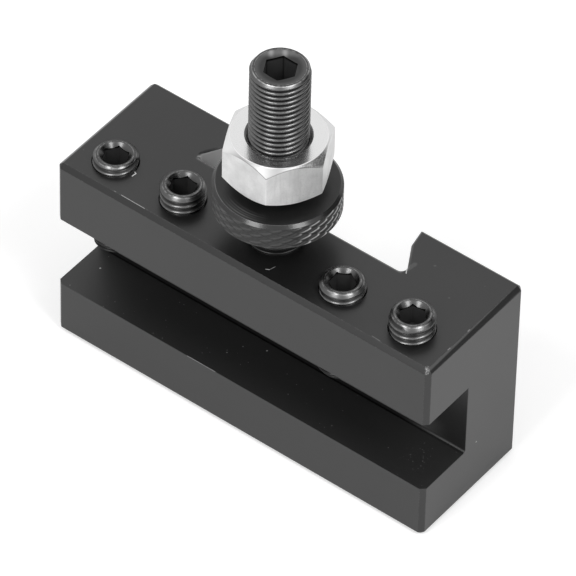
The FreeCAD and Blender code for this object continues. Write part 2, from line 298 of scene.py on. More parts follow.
def thread_tree():
    """A right-hand thread round the upright axis, run out on the chamfer at each end."""
    tree, size, out = new_group("thread", "GeometryNodeTree", {
        "Ends": GEOMETRY, "Pitch": NUMBER, "Phase": NUMBER, "Depth": NUMBER, "Crest": NUMBER,
        "Crest Share": NUMBER, "Root Share": NUMBER, "Bottom": NUMBER, "Top": NUMBER,
        "Bottom End": NUMBER, "Top End": NUMBER, "Start": NUMBER, "Material": MATERIAL,
    }, {"Geometry": GEOMETRY})
    pitch, bottom, top = size["Pitch"], size["Bottom"], size["Top"]
    turns = ((top - bottom) / pitch + 3).math("CEIL")
    mesh, turn, row = grid_fields(tree, SEGMENTS, turns * ROWS_PER_PITCH)
    wanted = bottom + size["Phase"] + (row / ROWS_PER_PITCH + turn - 2) * pitch
    height = wanted.math("MAXIMUM", bottom).math("MINIMUM", top)
    beyond = (wanted - height).math("ABSOLUTE").math("GREATER_THAN", 1e-9)
    share = (row + 0.5) / ROWS_PER_PITCH
    ridge = share.math("PINGPONG", 0.5) * 2
    # a groove is cut only where its own middle lies below the thread's start
    groove = wanted - (share.math("FRACT") - 0.5) * pitch
    cut = ramp(top - groove, size["Start"], size["Start"] + THREAD_FADE)
    drop = ramp(ridge, size["Crest Share"], 1 - size["Root Share"]) * cut
    radius = size["Crest"] - size["Depth"] * drop + beyond * size["Crest"]
    for limit in (size["Top End"] + top - height, size["Bottom End"] + height - bottom):
        radius = radius.math("MINIMUM", limit)
    sleeve = wrapped(tree, mesh, turn, radius, height)
    smooth = add(tree, "GeometryNodeSetShadeSmooth", {"Geometry": sleeve.outputs[0]})
    close_tree(tree, out, (size["Ends"].socket, smooth.outputs[0]), size["Material"])
    return tree


def knurl_tree():
    """A band of diamond knurl round the upright axis, plain at its top and bottom rims."""
    tree, size, out = new_group("knurl", "GeometryNodeTree", {
        "Ends": GEOMETRY, "Radius": NUMBER, "Depth": NUMBER, "Bottom": NUMBER, "Top": NUMBER,
        "Row": NUMBER, "Count": NUMBER, "Groove": NUMBER, "Rim": NUMBER, "Material": MATERIAL,
    }, {"Geometry": GEOMETRY})
    bottom, top = size["Bottom"], size["Top"]
    mesh, turn, row = grid_fields(tree, KNURL_COLUMNS, KNURL_ROWS)
    height = bottom + row / KNURL_ROWS * (top - bottom)
    along = (height - bottom) / size["Row"]
    around = turn * size["Count"]
    rising = (around + along).math("PINGPONG", 0.5) * 2
    falling = (around - along).math("PINGPONG", 0.5) * 2
    crest = rising.math("MINIMUM", falling)
    groove = add(tree, "ShaderNodeMapRange", {
        "Value": crest, "From Min": 0.0, "From Max": size["Groove"], "To Min": 1.0, "To Max": 0.0,
    })
    edge = (height - bottom).math("MINIMUM", top - height)
    fade = add(tree, "ShaderNodeMapRange", {
        "Value": edge, "From Min": 0.0, "From Max": size["Rim"],
    })
    cut = Field(tree, groove.outputs[0]) * Field(tree, fade.outputs[0])
    # a burr leans across each diamond, nearly level, and its mask carries the burr's painted glint
    one = (around + along).math("FRACT") - 0.5
    other = (around - along).math("FRACT") - 0.5
    ends = ramp((one + other).math("ABSOLUTE"), *BURR_GLINT_ENDS)
    burr_glint = near(one * BURR_GLINT_LEAN - other * (1 - BURR_GLINT_LEAN), 0.0, BURR_GLINT_WIDTH) * (1 - ends)
    marked = add(tree, "GeometryNodeStoreNamedAttribute", {
        "Geometry": mesh, "Name": "burr_glint", "Value": burr_glint,
    }, data_type="FLOAT", domain="POINT")
    band = wrapped(tree, marked.outputs[0], turn, size["Radius"] - size["Depth"] * cut, height)
    smooth = add(tree, "GeometryNodeSetShadeSmooth", {"Geometry": band.outputs[0]})
    close_tree(tree, out, (size["Ends"].socket, smooth.outputs[0]), size["Material"])
    return tree


def grown(name, base, tree, values):
    """Runs a geometry tree on a mesh and returns a new piece with the plain result."""
    source = bpy.data.objects.new("source", base)
    bpy.context.scene.collection.objects.link(source)
    modifier = source.modifiers.new("shape", "NODES")
    modifier.node_group = tree
    for item in tree.interface.items_tree:
        if item.in_out == "INPUT" and item.name in values:
            modifier[item.identifier] = values[item.name]
    source.update_tag()
    depsgraph = bpy.context.evaluated_depsgraph_get()
    mesh = bpy.data.meshes.new_from_object(source.evaluated_get(depsgraph), depsgraph=depsgraph)
    mesh.name = name
    bpy.data.objects.remove(source)
    piece = bpy.data.objects.new(name, mesh)
    bpy.context.scene.collection.objects.link(piece)
    return piece


def around_axis(angle, radius, height, turn):
    """A place round the upright axis, with the whole ring turned by some degrees."""
    turned = angle + math.radians(turn)
    return radius * math.cos(turned), radius * math.sin(turned), height


def hexagon_radius(flats, angle):
    """Distance from the middle of a hexagon to its side, in one direction."""
    corner_turn = math.tau / 6
    from_side = (angle % corner_turn) - corner_turn / 2
    return flats / 2 / math.cos(from_side)


def ring_mesh(name, rings, count=SEGMENTS):
    """Makes a mesh from rings of points: each ring is a function from an angle to a place.
    A ring given as a height alone is a point on the axis."""
    shape = bmesh.new()
    made = []
    for ring in rings:
        if isinstance(ring, float):
            made.append([shape.verts.new((0, 0, ring))] * count)
        else:
            made.append([shape.verts.new(ring(math.tau * i / count)) for i in range(count)])
    for lower, upper in zip(made, made[1:]):
        for i in range(count):
            following = (i + 1) % count
            corners = [lower[i], lower[following], upper[following], upper[i]]
            shape.faces.new(list(dict.fromkeys(corners)))
    mesh = bpy.data.meshes.new(name)
    shape.to_mesh(mesh)
    shape.free()
    return mesh


def level(radius, height, turn=0.0):
    """A plain circle for ring_mesh."""
    return lambda angle: around_axis(angle, radius, height, turn)


def six_sided(flats, height_at, turn):
    """A hexagon for ring_mesh, with a height that depends on the radius."""
    def point(angle):
        radius = hexagon_radius(flats, angle)
        return around_axis(angle, radius, height_at(radius), turn)
    return point


def socket_rings(outer, ring, slope, flats, depth, turn, top):
    """Rings from a screw's end face down its sink into its hexagon socket."""
    mouth = outer - ring
    rise = math.tan(math.radians(slope))
    return [
        level(outer, top), level(mouth, top, turn),
        six_sided(flats, lambda radius: top - (mouth - radius) * rise, turn),
        six_sided(flats, lambda radius: top - depth, turn), top - depth,
    ]


def placed(mesh, centre, top):
    """Moves a mesh's points from the axis to where the piece stands, and keeps each point's
    place from the piece's own axis and top, in millimetres, for its material."""
    own = mesh.attributes.new("own_place", "FLOAT_VECTOR", "POINT")
    for vertex, kept in zip(mesh.vertices, own.data):
        kept.vector = (vertex.co.x / MM, vertex.co.y / MM, (vertex.co.z - top) / MM)
        vertex.co.x += centre.x
        vertex.co.y += centre.y
    mesh.update()


def crisp(mesh, keep_round):
    """Marks a turned piece's edges as crisp, apart from those that a test keeps round."""
    shape = bmesh.new()
    shape.from_mesh(mesh)
    for face in shape.faces:
        face.smooth = True
    for edge in shape.edges:
        if len(edge.link_faces) != 2 or edge.calc_face_angle(0) < math.radians(CRISP_ANGLE):
            continue
        if not keep_round((edge.verts[0].co + edge.verts[1].co) / 2):
            edge.smooth = False
    shape.to_mesh(mesh)
    shape.free()


def two_sided_mesh(name, first, second):
    """Joins two meshes of rings into one base mesh."""
    shape = bmesh.new()
    shape.from_mesh(first)
    shape.from_mesh(second)
    mesh = bpy.data.meshes.new(name)
    shape.to_mesh(mesh)
    shape.free()
    return mesh


def threaded_piece(name, node, body, tree, material, ends, thread):
    """Builds a threaded piece where a CAD node stands, and lets it stand for that node."""
    low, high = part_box(node)
    crest = (high.x - low.x) / 2
    root = crest - thread["Depth"]
    piece = grown(name, ends, tree, {
        "Crest": crest, "Bottom": low.z, "Top": high.z, "Material": material, **thread,
    })

    def on_thread(point):
        inside = low.z + AT_LIMIT < point.z < high.z - AT_LIMIT
        return inside and math.hypot(point.x, point.y) > root - AT_LIMIT

    crisp(piece.data, on_thread)
    placed(piece.data, (low + high) / 2, high.z)
    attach(piece, body)
    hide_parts(node)
    return piece


def stud(tree, material):
    """The height stud, with its dished top and hexagon socket."""
    low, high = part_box("height_stud")
    crest = (high.x - low.x) / 2
    face = crest - STUD_CHAMFER
    top = ring_mesh("stud_top", socket_rings(
        face, STUD_RING, DISH_SLOPE, STUD_SOCKET, STUD_SOCKET_DEPTH, STUD_TURN, high.z,
    ))
    foot = ring_mesh("stud_foot", [low.z, level(face, low.z)])
    ends = two_sided_mesh("stud_ends", top, foot)
    piece = threaded_piece("threaded_stud", "height_stud", "holder", tree, material, ends, {
        **STUD_THREAD, "Bottom End": face, "Top End": face,
    })


def clamp_screw(number, tree, material):
    """One clamp screw: flat ring, countersunk hexagon socket, thread and cup point."""
    node = "clamp_screw_%d" % number
    low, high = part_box(node)
    crest = (high.x - low.x) / 2
    face = crest - CLAMP_CHAMFER
    cup = crest - CLAMP_POINT
    top = ring_mesh("screw_top", socket_rings(
        face, CLAMP_RING, CLAMP_SINK_SLOPE, CLAMP_SOCKET, CLAMP_SOCKET_DEPTH,
        CLAMP_TURNS[number - 1], high.z,
    ))
    cup_top = low.z + cup * math.tan(math.radians(CUP_SLOPE))
    foot = ring_mesh("screw_foot", [cup_top, level(cup, low.z)])
    ends = two_sided_mesh("screw_ends", top, foot)
    piece = threaded_piece("socket_screw_%d" % number, node, node, tree, material, ends, {
        **CLAMP_THREAD, "Phase": CLAMP_PHASES[number - 1] * MM, "Bottom End": cup, "Top End": face,
    })


def knurled_nut(tree, material):
    """The knurled height nut."""
    low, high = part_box("thumb_nut")
    radius = (high.x - low.x) / 2
    face = radius - THUMB_CHAMFER
    mouth = NUT_BORE + NUT_SINK
    inside = ring_mesh("nut_inside", [
        level(radius, high.z - THUMB_CHAMFER), level(face, high.z), level(mouth, high.z),
        level(NUT_BORE, high.z - NUT_SINK), level(NUT_BORE, low.z + NUT_SINK),
        level(mouth, low.z), level(face, low.z), level(radius, low.z + THUMB_CHAMFER),
    ], KNURL_COLUMNS)
    piece = grown("knurled_nut", inside, tree, {
        "Radius": radius, "Depth": KNURL_DEPTH, "Bottom": low.z + THUMB_CHAMFER,
        "Top": high.z - THUMB_CHAMFER, "Row": KNURL_ROW, "Count": float(KNURL_COUNT),
        "Groove": KNURL_GROOVE, "Rim": KNURL_RIM, "Material": material,
    })

    def on_knurl(point):
        margin = THUMB_CHAMFER + AT_LIMIT
        inside = low.z + margin < point.z < high.z - margin
        return inside and math.hypot(point.x, point.y) > face

    crisp(piece.data, on_knurl)
    placed(piece.data, (low + high) / 2, high.z)
    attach(piece, "thumb_nut")
    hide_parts("thumb_nut")


def bevelled(piece, width, angle, sharp=None):
    """Rounds a piece's edges, apart from those that a test keeps sharp, applied to its mesh."""
    shape = bmesh.new()
    shape.from_mesh(piece.data)
    weight = shape.edges.layers.float.new("bevel_weight_edge")
    for edge in shape.edges:
        if len(edge.link_faces) == 2 and edge.calc_face_angle(0) > math.radians(angle):
            middle = (edge.verts[0].co + edge.verts[1].co) / 2
            edge[weight] = 0.0 if sharp and sharp(middle) else 1.0
            edge.smooth = edge[weight] > 0
    shape.to_mesh(piece.data)
    shape.free()
    modifier = piece.modifiers.new("edges", "BEVEL")
    modifier.width = width
    modifier.segments = 2
    modifier.limit_method = "WEIGHT"
    weighted = piece.modifiers.new("normals", "WEIGHTED_NORMAL")
    weighted.mode = "FACE_AREA"
    weighted.weight = 90
    depsgraph = bpy.context.evaluated_depsgraph_get()
    mesh = bpy.data.meshes.new_from_object(piece.evaluated_get(depsgraph), depsgraph=depsgraph)
    piece.modifiers.clear()
    piece.data = mesh


def lock_nut(material):
    """The bright hexagon nut."""
    low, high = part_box("lock_nut")
    ring = LOCK_FLATS / 2 - LOCK_RIM
    rise = math.tan(math.radians(LOCK_SLOPE))
    mouth = NUT_BORE + NUT_SINK

    lower = six_sided(LOCK_FLATS, lambda radius: low.z + (radius - ring) * rise, LOCK_TURN)
    upper = six_sided(LOCK_FLATS, lambda radius: high.z - (radius - ring) * rise, LOCK_TURN)
    mesh = ring_mesh("hexagon_nut", [
        level(NUT_BORE, low.z + NUT_SINK, LOCK_TURN), level(mouth, low.z, LOCK_TURN),
        level(ring, low.z, LOCK_TURN), lower, upper, level(ring, high.z, LOCK_TURN),
        level(mouth, high.z, LOCK_TURN), level(NUT_BORE, high.z - NUT_SINK, LOCK_TURN),
        level(NUT_BORE, low.z + NUT_SINK, LOCK_TURN),
    ])
    piece = bpy.data.objects.new("hexagon_nut", mesh)
    bpy.context.scene.collection.objects.link(piece)
    mesh.materials.append(material)
    for face in mesh.polygons:
        face.use_smooth = True
    placed(mesh, (low + high) / 2, high.z)
    bevelled(piece, LOCK_EDGE, CRISP_ANGLE)
    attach(piece, "lock_nut")
    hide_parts("lock_nut")


def block(material):
    """The milled block, with its edges rounded a little."""
    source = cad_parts["holder_body"].data
    shape = bmesh.new()
    shape.from_mesh(source)
    bmesh.ops.remove_doubles(shape, verts=shape.verts, dist=SAME_PLACE)
    flat = math.radians(0.5)
    bmesh.ops.dissolve_limit(shape, angle_limit=flat, verts=shape.verts, edges=shape.edges)
    mesh = bpy.data.meshes.new("milled_block")
    for face in shape.faces:
        face.smooth = True
    shape.to_mesh(mesh)
    shape.free()
    mesh.materials.clear()
    mesh.materials.append(material)
    piece = bpy.data.objects.new("milled_block", mesh)
    bpy.context.scene.collection.objects.link(piece)
    screws = [sum(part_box("clamp_screw_%d" % number), Vector()) / 2 for number in range(1, 5)]

    def at_hole(point):
        return any((point - screw).xy.length < HOLE_REACH for screw in screws)

    bevelled(piece, BLOCK_EDGE, BLOCK_BEND, at_hole)
    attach(piece, "holder")
    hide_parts("holder_body")


def surface(name, **values):
    """Starts a material with one Principled shader, and returns it with its tree and shader."""
    material = bpy.data.materials.new(name)
    material.use_nodes = True
    tree = material.node_tree
    shader = tree.nodes["Principled BSDF"]
    for label, value in values.items():
        shader.inputs[label.replace("_", " ")].default_value = value
    return material, tree, shader


def object_place(tree):
    """Object coordinates in millimetres."""
    source = tree.nodes.new("ShaderNodeTexCoord")
    scaled = add(tree, "ShaderNodeVectorMath", {0: source.outputs["Object"]}, operation="SCALE")
    scaled.inputs["Scale"].default_value = 1 / MM
    return scaled.outputs[0]


def parts_of(tree, place):
    """The three parts of a place, as fields."""
    split = add(tree, "ShaderNodeSeparateXYZ", {0: place})
    return [Field(tree, output) for output in split.outputs]


def grain_group():
    """Grain of a steel surface: fine and broad noise, each about one half."""
    tree, size, out = new_group("grain", "ShaderNodeTree", {
        "Place": VECTOR, "Fine Scale": NUMBER, "Broad Scale": NUMBER,
    }, {"Fine": NUMBER, "Broad": NUMBER})
    for output, scale, detail in (("Fine", "Fine Scale", 4.0), ("Broad", "Broad Scale", 3.0)):
        noise = add(tree, "ShaderNodeTexNoise", {
            "Vector": size["Place"], "Scale": size[scale], "Detail": detail,
        })
        feed(tree, noise.outputs["Fac"], out.inputs[output])
    return tree


def stroke_group():
    """A scratch or chip: a ragged line between two places."""
    tree, size, out = new_group("stroke", "ShaderNodeTree", {
        "Place": VECTOR, "From": VECTOR, "To": VECTOR, "Width": NUMBER, "Ragged": NUMBER,
    }, {"Mask": NUMBER})

    def vector(operation, *inputs):
        return add(tree, "ShaderNodeVectorMath", dict(enumerate(inputs)), operation=operation)

    line = vector("SUBTRACT", size["To"], size["From"]).outputs[0]
    reach = vector("SUBTRACT", size["Place"], size["From"]).outputs[0]
    along = Field(tree, vector("DOT_PRODUCT", reach, line).outputs["Value"])
    share = along / Field(tree, vector("DOT_PRODUCT", line, line).outputs["Value"])
    share = share.math("MAXIMUM", 0.0).math("MINIMUM", 1.0)
    foot = add(tree, "ShaderNodeVectorMath", {0: line, "Scale": share}, operation="SCALE")
    away = Field(tree, vector("DISTANCE", reach, foot.outputs[0]).outputs["Value"])
    noise = add(tree, "ShaderNodeTexNoise", {"Vector": size["Place"], "Scale": 3.0, "Detail": 3.0})
    width = size["Width"] * (1 + (Field(tree, noise.outputs["Fac"]) - 0.5) * size["Ragged"])
    mask = 1 - ramp(away / width, 0.5, 1.0)
    feed(tree, mask, out.inputs["Mask"])
    return tree


def dust_group():
    """Small grains of dust, spread at random."""
    tree, size, out = new_group("dust", "ShaderNodeTree", {
        "Place": VECTOR, "Per Length": NUMBER, "Size": NUMBER, "Share": NUMBER,
    }, {"Mask": NUMBER})
    cells = add(tree, "ShaderNodeTexVoronoi", {
        "Vector": size["Place"], "Scale": size["Per Length"],
    })
    tone = add(tree, "ShaderNodeSeparateColor", {"Color": cells.outputs["Color"]})
    chosen = Field(tree, tone.outputs[0]).math("LESS_THAN", size["Share"])
    grain_size = size["Size"] * size["Per Length"] * (Field(tree, tone.outputs[1]) + 0.4)
    mask = (1 - ramp(Field(tree, cells.outputs["Distance"]) / grain_size, 0.5, 1.0)) * chosen
    feed(tree, mask, out.inputs["Mask"])
    return tree


def edge_group():
    """The chamfers of a box: a line along their rims, and the flats of the chamfers."""
    tree, size, out = new_group("edge_wear_and_shade", "ShaderNodeTree", {
        "Place": VECTOR, "Half Length": NUMBER, "Half Depth": NUMBER, "Height": NUMBER,
        "Chamfer": NUMBER, "Line": NUMBER,
    }, {"Rim": NUMBER, "Flat": NUMBER})
    x, y, z = parts_of(tree, size["Place"])
    along = size["Half Length"] - x.math("ABSOLUTE")
    across = size["Half Depth"] - y.math("ABSOLUTE")
    up = z.math("MINIMUM", size["Height"] - z)
    lesser = along.math("MINIMUM", across)
    greater = along.math("MAXIMUM", across)
    second = lesser.math("MAXIMUM", greater.math("MINIMUM", up))
    gap = (second - size["Chamfer"]).math("ABSOLUTE")
    feed(tree, 1 - ramp(gap / size["Line"], 0.0, 1.0), out.inputs["Rim"])
    feed(tree, 1 - ramp(second - size["Chamfer"], -0.05, 0.0), out.inputs["Flat"])
    return tree


class Finish:
    """A steel finish built up in layers, each laid where its mask is. Its measures are in
    millimetres, and each layer has a grey, a share of bare metal and a roughness. The grain
    has a fine and a broad scale, and varies the grey and the roughness a little."""

    def __init__(self, name, groups, metallic, roughness, ior, grey, fine, broad):
        self.groups = groups
        self.material, self.tree, self.shader = surface(name, IOR=ior)
        self.place = object_place(self.tree)
        grain = self.group("grain", {"Place": self.place, "Fine Scale": fine, "Broad Scale": broad})
        self.fine = Field(self.tree, grain.outputs["Fine"])
        self.broad = Field(self.tree, grain.outputs["Broad"])
        self.grey = grey * (0.7 + self.broad * 0.6)
        self.metallic = metallic
        self.roughness = roughness + (self.fine - 0.5) * 0.1

    def group(self, name, inputs):
        return add(self.tree, "ShaderNodeGroup", inputs, node_tree=self.groups[name])

    def own_place(self):
        """Place on a turned piece, from its own axis and top, in millimetres, and the radius."""
        source = add(self.tree, "ShaderNodeAttribute", attribute_name="own_place")
        x, y, z = parts_of(self.tree, source.outputs["Vector"])
        return x, y, z, (x * x + y * y).math("SQRT")

    def stroke(self, start, end, width):
        made = self.group("stroke", {
            "Place": self.place, "From": start, "To": end, "Width": width, "Ragged": RAGGED,
        })
        return Field(self.tree, made.outputs["Mask"])

    def dust(self, per_length, size, share):
        made = self.group("dust", {
            "Place": self.place, "Per Length": per_length, "Size": size, "Share": share,
        })
        return Field(self.tree, made.outputs["Mask"])

    def layer(self, mask, grey, metallic, roughness):
        """Lays a layer over the ones below, where its mask is."""
        self.grey = self.grey + (grey - self.grey) * mask
        self.metallic = self.metallic + (metallic - self.metallic) * mask
        self.roughness = self.roughness + (roughness - self.roughness) * mask

    def close(self, bump, distance):
        """Wires the layers to the shader, with the grain as relief, and returns the material."""
        colour = add(self.tree, "ShaderNodeCombineColor", {0: self.grey, 1: self.grey, 2: self.grey})
        feed(self.tree, colour.outputs[0], self.shader.inputs["Base Color"])
        feed(self.tree, self.metallic, self.shader.inputs["Metallic"])
        feed(self.tree, self.roughness, self.shader.inputs["Roughness"])
        relief = add(self.tree, "ShaderNodeBump", {
            "Height": self.fine, "Strength": bump, "Distance": distance,
        })
        feed(self.tree, relief.outputs[0], self.shader.inputs["Normal"])
        return self.material


def edge_layers(steel, x, y, z):
    """Wear on the rims of the block's chamfers, a painted lighter band on the right top chamfer and
    painted shade on the front top chamfer.
    """
    edges = steel.group("edge_wear_and_shade", {
        "Place": steel.place, "Half Length": HALF_LENGTH, "Half Depth": HALF_DEPTH,
        "Height": BLOCK_TOP, "Chamfer": BLOCK_CHAMFER, "Line": 0.1,
    })
    rim = Field(steel.tree, edges.outputs["Rim"])
    steel.layer(rim * ramp(steel.fine, 0.5, 0.62) * 0.3, 0.22, 0.6, 0.35)
    # the right top chamfer is painted lighter along its upper part, most at the front: a painted
    # reflection
    top_flat = Field(steel.tree, edges.outputs["Flat"]) * ramp(z, 37.0, 37.1)
    across = (x - HALF_LENGTH + BLOCK_CHAMFER) / BLOCK_CHAMFER
    painted_light_band = 1 - ramp(across + y * 0.02 - 0.25, -0.12, 0.12)
    steel.layer(top_flat * painted_light_band * ramp(x, 36.65, 36.7), 0.055, 0.0, 0.5)
    # the front top chamfer is painted darker: a painted shade
    front = ramp(y, -11.75, -11.85) * (1 - ramp(x, 36.6, 36.7))
    steel.layer(top_flat * front, 0.042, 1.0, 0.35)


def dovetail_layers(steel, x, y, z):
    """The ground walls of the dovetail, painted pale as a painted reflection, and a painted highlight
    along the rim of its floor.
    """
    half = x.math("ABSOLUTE")
    outwards = (DOVETAIL_CORNER - half) * math.cos(DOVETAIL_LEAN)
    from_wall = outwards - (y - DOVETAIL_FLOOR) * math.sin(DOVETAIL_LEAN)
    # the walls are painted pale: a painted reflection
    walls = ramp(from_wall, -0.08, -0.02) * (1 - ramp(from_wall + ramp(x, -1, 1) * 0.5, 0.5, 0.7))
    walls = walls * ramp(y, 2.7, 2.8) * (1 - ramp(y, 8.4, 8.6)) * ramp(x, -21.0, -20.5)
    steel.layer(walls, 0.56, 0.25, 0.5)
    # the rim of the floor is painted bright: a painted highlight
    floor_rim = near(y, 2.6, 0.5) * ramp(z, 37.3, 37.5) * (1 - ramp(half, 20.0, 21.0))
    steel.layer(floor_rim * 0.7, 0.35, 0.6, 0.4)


def slot_layers(steel, x, y, z):
    """The slot's darker floor, painted shade in its corner and a painted lighter band on the wall above
    it. Returns the mask of the floor.
    """
    ledge = near(z, SLOT_FLOOR, 0.2) * (1 - ramp(y, -2.4, -2.0))
    steel.layer(ledge, 0.011, 0.0, 0.45)
    before_wall = 1 - ramp(y, -1.5, -1.4)
    left = 1 - ramp(x, 24.0, 35.0)
    # the corner is painted nearly black: a painted shade
    corner = ramp(y, -2.15, -2.0) * before_wall * ramp(z, 10.8, 10.9) * (1 - ramp(z, 11.4, 11.5))
    steel.layer(corner * left, 0.008, 1.0, 0.6)
    # the wall above the corner is painted lighter: a painted reflection
    wall = ramp(y, -1.62, -1.54) * before_wall * ramp(z, 11.2, 11.4) * (1 - ramp(z, 13.0, 16.0))
    steel.layer(wall * left, 0.08, 0.0, 0.9)
    return ledge


def mark_layers(steel, x, y, ledge):
    """Scratches, chips and dust on the block, and a cluster of specks on the slot's floor."""
    for start, end, width, strength in SCRATCHES:
        steel.layer(steel.stroke(start, end, width) * strength, 0.75, 0.3, 0.4)
    nick = steel.stroke((37.0, -12.3, 37.4), (36.5, -11.7, 37.9), 0.5)
    steel.layer(nick * ramp(steel.fine, 0.48, 0.6) * 0.36, 0.6, 0.5, 0.4)
    reach = ((x - 32.6) * (x - 32.6) + (y + 7.4) * (y + 7.4)).math("SQRT")
    cluster = steel.dust(3.0, 0.07, 0.6) * (1 - ramp(reach, 1.0, 3.8))
    steel.layer(cluster * ledge * 0.4, 0.4, 0.0, 0.8)
    steel.layer(steel.dust(1.1, 0.08, 0.35) * ledge * 0.6, 0.4, 0.0, 0.8)
    steel.layer(steel.dust(0.55, 0.09, 0.25) * 0.25, 0.4, 0.0, 0.8)


def oxide_finish(groups):
    """The block's black oxide, stained on its right end."""
    steel = Finish(
        "black_oxide", groups, metallic=0.0, roughness=0.34, ior=1.6, grey=0.0075, fine=6.0, broad=0.12,
    )
    x, y, z = parts_of(steel.tree, steel.place)
    stains = ramp(steel.broad, 0.45, 0.7) * ramp(x, 37.3, 37.45) * ramp(y, 0.0, 9.0)
    steel.layer(stains * 0.8, 0.09, 1.0, 0.4)
    edge_layers(steel, x, y, z)
    dovetail_layers(steel, x, y, z)
    mark_layers(steel, x, y, slot_layers(steel, x, y, z))
    return steel.close(0.04, 0.02 * MM)


def thread_finish(name, groups, crest, chamfer, rims):
    """Black threaded steel, rubbed bright on its crests and round its rims."""
    steel = Finish(
        name, groups, metallic=1.0, roughness=0.25, ior=1.5, grey=0.066, fine=1.6, broad=0.5,
    )
    x, y, height, radius = steel.own_place()
    worn = ramp(steel.fine, 0.36, 0.62)
    crests = ramp(radius, crest - 0.4, crest - 0.05)
    steel.layer(crests * (0.5 + worn * 0.25), 0.18, 0.85, 0.28)
    on_top = ramp(height, -0.75, -0.1)
    steel.layer(on_top * 0.5, 0.12, 1.0, 0.3)
    outside = ramp(radius, rims[-1], rims[-1] + 0.1)
    steel.layer(ramp(height, -chamfer - 0.1, -chamfer) * outside * 0.8, 0.12, 1.0, 0.34)
    for rim in rims:
        steel.layer(near(radius, rim, 0.1) * on_top * worn * 0.65, 0.4, 0.8, 0.3)
    return steel, x, y, height, radius, on_top


def stud_finish(groups):
    """The stud's black: its dish painted in shades, with painted light and two painted highlights at its
    back, its socket dark, and painted shade on its foot.
    """
    steel, x, y, height, radius, on_top = thread_finish(
        "stud_black", groups, crest=4.9, chamfer=STUD_CHAMFER / MM, rims=(4.1, 4.45),
    )
    # the dish is painted darker towards the socket and lighter towards its rim: a painted shade
    dish = (1 - ramp(radius, 3.9, 4.1)) * on_top
    steel.layer(dish, 0.055, 1.0, 0.35)
    steel.layer(dish * ramp(radius, 3.0, 4.0), 0.11, 1.0, 0.35)
    # the back of the dish is painted lighter, with two painted highlights
    painted_back_light = dish * near(y * 0.8 - x * 0.6, 3.4, 1.3)
    steel.layer(painted_back_light * (0.4 + steel.fine * 0.6), 0.2, 1.0, 0.35)
    for spot in (-1.5, 0.7):
        steel.layer(painted_back_light * near(x * 0.79 + y * 0.61, spot, 0.7) * 0.7, 0.42, 1.0, 0.35)
    socket = (1 - ramp(radius, 2.7, 2.95)) * (1 - ramp(height, -0.9, -0.5))
    steel.layer(socket, 0.03, 0.0, 0.6)
    # the foot is painted darker where it stands under the knurled nut: a painted shade
    foot = 1 - ramp(height, -30.2, -29.2)
    steel.layer(foot, 0.04, 1.0, 0.35)
    rim = near(radius, 4.5, 0.09) * on_top
    steel.layer(rim * (0.35 + ramp(steel.fine, 0.4, 0.6) * 0.5), 0.42, 0.6, 0.35)
    steel.layer(steel.dust(1.0, 0.08, 0.06) * 0.6, 0.5, 1.0, 0.3)
    return steel.close(0.06, 0.03 * MM)


def screw_finish(groups):
    """The clamp screws' black: dark in their sockets, with painted shade in their grooves and at their
    feet.
    """
    steel, _, _, height, radius, on_top = thread_finish(
        "screw_black", groups, crest=3.8, chamfer=CLAMP_CHAMFER / MM, rims=(2.9, 3.32),
    )
    socket = (1 - ramp(radius, 2.25, 2.5)) * (1 - ramp(height, -1.1, -0.7))
    steel.layer(socket, 0.03, 0.0, 0.6)
    # the thread's roots are painted darker: a painted shade
    grooves = ramp(radius, 3.0, 3.1) * (1 - ramp(radius, 3.38, 3.75))
    steel.layer(grooves * (1 - ramp(height, -0.5, -0.35)), 0.042, 0.9, 0.35)
    # the feet in the slot are painted darker: a painted shade
    foot = 1 - ramp(height, -18.0, -16.0)
    steel.layer(foot, 0.03, 1.0, 0.35)
    steel.layer(steel.dust(2.5, 0.06, 0.1) * on_top * 0.8, 0.5, 1.0, 0.3)
    return steel.close(0.06, 0.03 * MM)


def knurl_finish(groups):
    """The knurled nut's black oxide, with its turned face, and painted highlights on its turning marks,
    its rim and its burrs.
    """
    steel = Finish(
        "black_knurl", groups, metallic=0.0, roughness=0.42, ior=1.5, grey=0.008, fine=3.0, broad=0.5,
    )
    x, y, height, radius = steel.own_place()
    on_face = ramp(height, -0.1, -0.02)
    # turning marks are painted lighter as arcs at the front of the face only: a painted highlight
    in_front = near(x, 0.0, 5.0) * (1 - ramp(y, -8.0, -5.0))
    for ring, strength in ((9.5, 0.9), (9.05, 0.5), (8.6, 0.75), (8.1, 0.3)):
        arc = near(radius, ring, 0.2) * on_face * in_front
        steel.layer(arc * strength, 0.1, 0.0, 0.5)
    # the face's outer rim is painted bright, faintly all round and strongly at the front: a painted
    # highlight
    rim = near(radius, 10.0, 0.12) * on_face
    steel.layer(rim * (0.05 + (1 - ramp(y, -7.0, -3.0)) * 0.95), 0.34, 0.7, 0.35)
    above_side = ramp(height, -0.55, -0.48)
    steel.layer(above_side * ramp(radius, 9.9, 10.05), 0.045, 0.7, 0.2)
    side = ramp(radius, 10.2, 10.3) * (1 - above_side)
    steel.layer(side * (0.5 + steel.broad * 0.5), 0.025, 0.1, 0.5)
    # the burrs are painted bright, faintly all round and strongly on the right: a painted highlight
    burr_glint = add(steel.tree, "ShaderNodeAttribute", attribute_name="burr_glint")
    painted_glint_share = 0.06 + ramp(x * 0.79 + y * 0.61, 2.5, 5.5) * 0.94
    steel.layer(Field(steel.tree, burr_glint.outputs["Fac"]) * side * painted_glint_share, 0.6, 0.3, 0.5)
    for x_at, y_at, z_at in ((-8.2, 6.2, 49.6), (3.3, -13.6, 46.5)):
        chip = steel.stroke((x_at, y_at, z_at), (x_at, y_at, z_at + 0.05), 0.25)
        steel.layer(chip * 0.6, 0.5, 0.0, 0.6)
    steel.layer(steel.dust(1.2, 0.08, 0.1) * 0.4, 0.5, 0.0, 0.8)
    return steel.close(0.15, 0.03 * MM)


